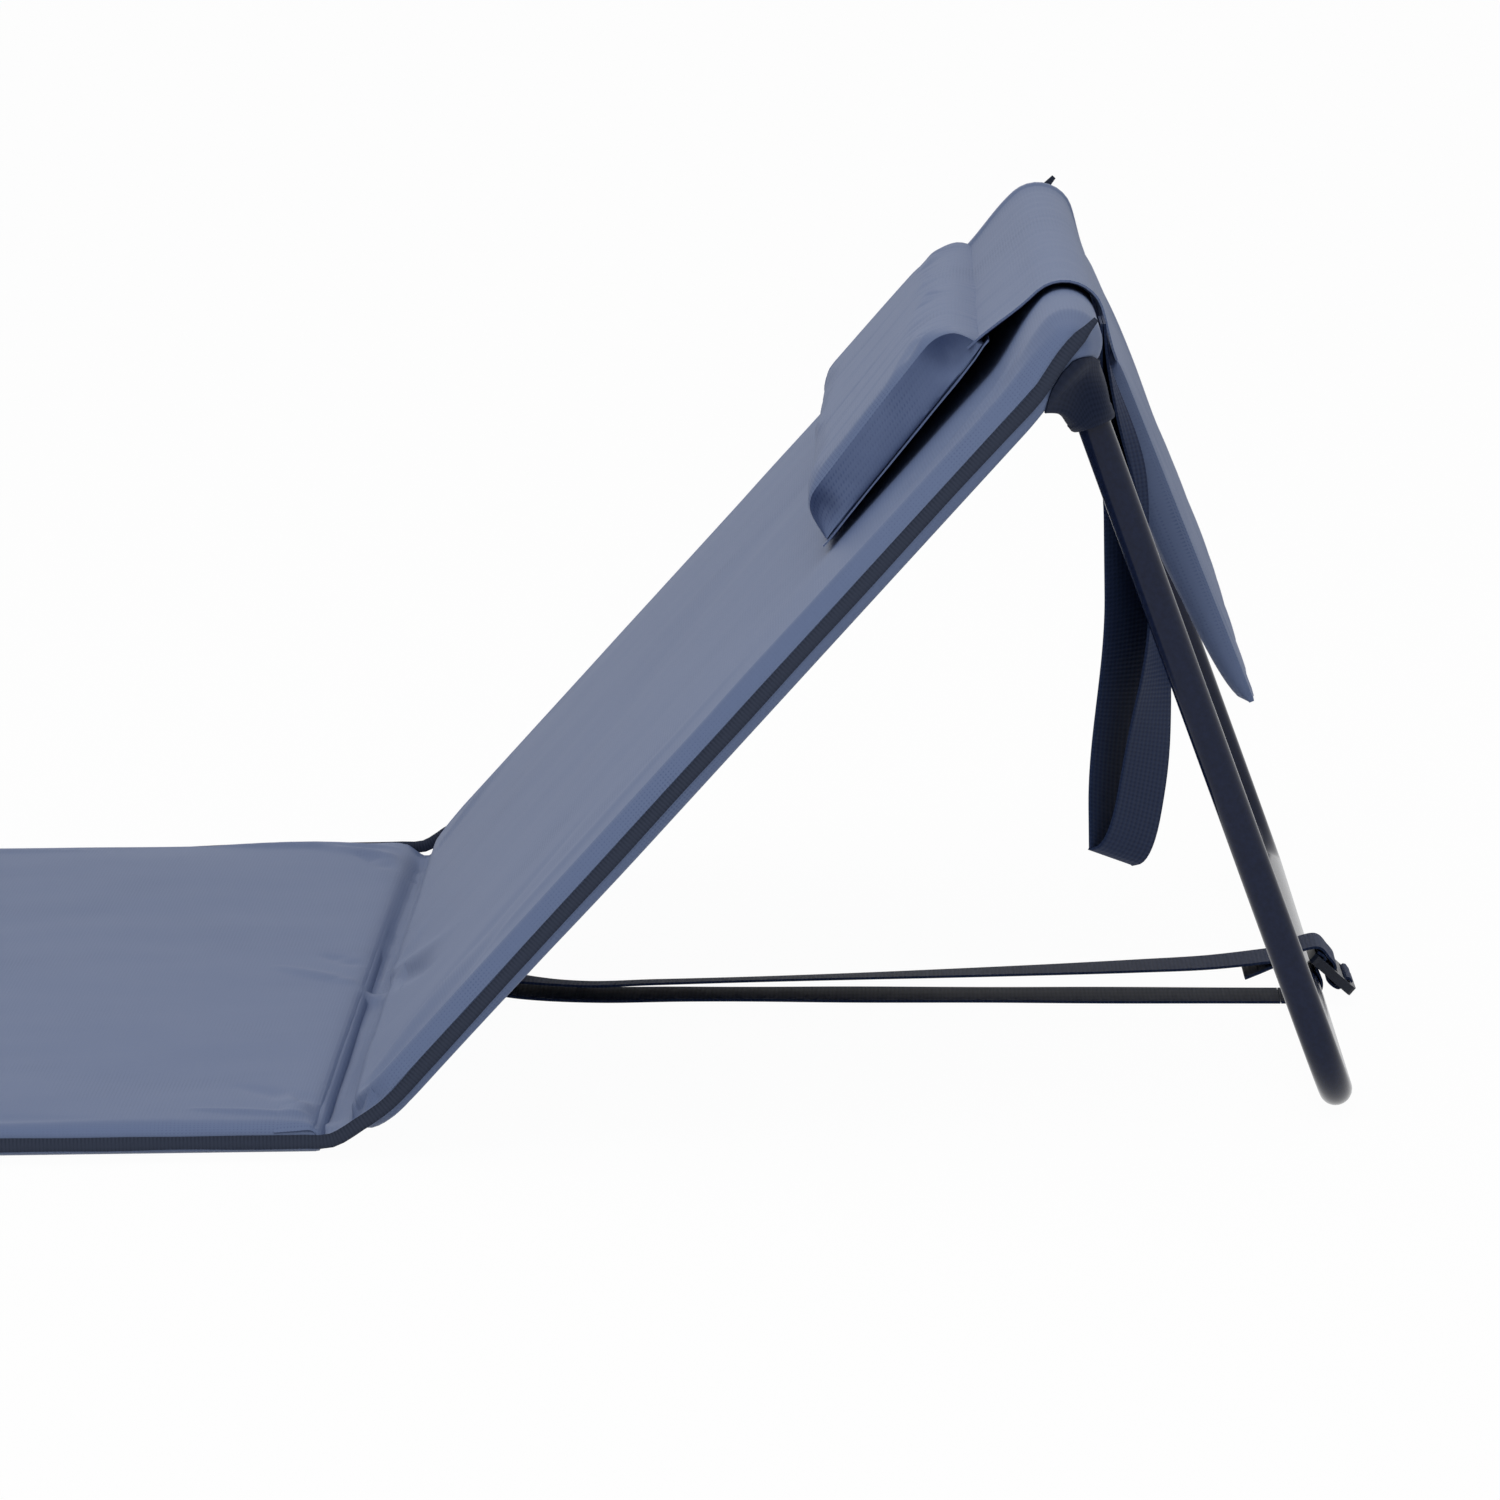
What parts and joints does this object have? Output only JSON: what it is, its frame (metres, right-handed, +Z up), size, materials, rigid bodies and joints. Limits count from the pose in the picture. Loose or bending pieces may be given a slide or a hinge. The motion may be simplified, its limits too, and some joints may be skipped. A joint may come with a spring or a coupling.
{
  "type": "double beach lounger",
  "caption": "Folding beach lounger for two: a padded mat with a tube-framed backrest held up by a folding leg and an adjusting strap, with a long headrest cushion and a carrying loop.",
  "frame": {"origin": "the middle of the footprint, on the ground that the mat lies on", "axes": "+X from the foot end to the rear of the backrest, +Y across to the right of a person lying on it, +Z up"},
  "size_m": [1.6268, 1.05, 0.4433],
  "materials": {
    "slate_fabric": "fine plain-woven polyester, slate blue-grey",
    "binding_tape": "ribbed black binding tape and cloth",
    "webbing": "black woven webbing, 50 mm wide",
    "coated_steel": "glossy black coating on steel tube and plate",
    "plated_steel": "zinc-plated steel",
    "foam": "open-cell polyurethane foam",
    "filling": "loose polyester fibre",
    "black_plastic": "moulded black plastic"
  },
  "bodies": {
    "seat": {"seat_top_cover": "slate_fabric", "seat_bottom_cover": "slate_fabric", "seat_foam": "foam", "seat_edge_tape_left": "binding_tape", "seat_edge_tape_right": "binding_tape", "fold_seam_strip": "slate_fabric", "hinge_seam_strip": "slate_fabric"},
    "foot_panel": {"foot_top_cover": "slate_fabric", "foot_bottom_cover": "slate_fabric", "foot_foam": "foam", "foot_edge_tape": "binding_tape"},
    "backrest": {"backrest_cover": "slate_fabric", "backrest_foam": "foam", "top_bar_foam_sleeve": "foam", "backrest_edge_tape_left": "binding_tape", "backrest_edge_tape_right": "binding_tape", "backrest_upper_frame": "coated_steel", "backrest_lower_frame": "coated_steel", "frame_joint_plug_left": "plated_steel", "frame_joint_plug_right": "plated_steel", "pivot_plate_left": "coated_steel", "pivot_plate_right": "coated_steel", "pivot_rivet_left": "plated_steel", "pivot_rivet_right": "plated_steel", "pivot_washer_left": "black_plastic", "pivot_washer_right": "black_plastic", "pivot_cuff_left": "binding_tape", "pivot_cuff_right": "binding_tape", "strap_lower_run": "webbing", "strap_upper_run": "webbing", "strap_tail_end": "webbing"},
    "support": {"support_leg": "coated_steel"},
    "strap_buckle": {"strap_bar_wrap": "webbing", "strap_upper_wrap": "webbing", "ladder_lock_buckle": "black_plastic"},
    "headrest": {"headrest_flap": "slate_fabric", "pillow_front_cover": "slate_fabric", "pillow_back_cover": "slate_fabric", "pillow_filling": "filling"},
    "pouch": {"pouch_outer_cover": "slate_fabric", "pouch_inner_cover": "slate_fabric", "pouch_filling": "filling"},
    "carry_strap": {"carry_loop": "webbing"}
  },
  "joints": [
    {"name": "mat_fold", "type": "hinge", "parent": "seat", "child": "foot_panel", "pos_m": [-0.35877, 0, 0.0215], "axis": [0, 1, 0], "range_deg": [0, 176], "deforming": ["fold_seam_strip"]},
    {"name": "backrest_fold", "type": "hinge", "parent": "seat", "child": "backrest", "pos_m": [0.25073, 0, 0.0225], "axis": [0, -1, 0], "range_deg": [-28, 112], "deforming": ["hinge_seam_strip"]},
    {"name": "leg_fold", "type": "hinge", "parent": "backrest", "child": "support", "pos_m": [0.6517, 0, 0.38967], "axis": [0, -1, 0], "range_deg": [-61, 0], "deforming": ["strap_lower_run", "strap_upper_run", "strap_tail_end", "pivot_cuff_left", "pivot_cuff_right"]},
    {"name": "buckle_swing", "type": "hinge", "parent": "support", "child": "strap_buckle", "pos_m": [0.7835, 0, 0.0112], "axis": [0, -1, 0], "range_deg": [-70, 0]},
    {"name": "headrest_lift", "type": "slide", "parent": "backrest", "child": "headrest", "axis": [0.4695, 0, 0.8829], "range_m": [0, 0.3]},
    {"name": "carry_swing", "type": "hinge", "parent": "backrest", "child": "carry_strap", "pos_m": [0.66228, -0.4075, 0.42804], "axis": [0, 1, 0], "range_deg": [-110, 0]},
    {"name": "pouch_swing", "type": "hinge", "parent": "headrest", "child": "pouch", "pos_m": [0.67088, 0, 0.40302], "axis": [0, 1, 0], "range_deg": [-70, 0]}
  ]
}
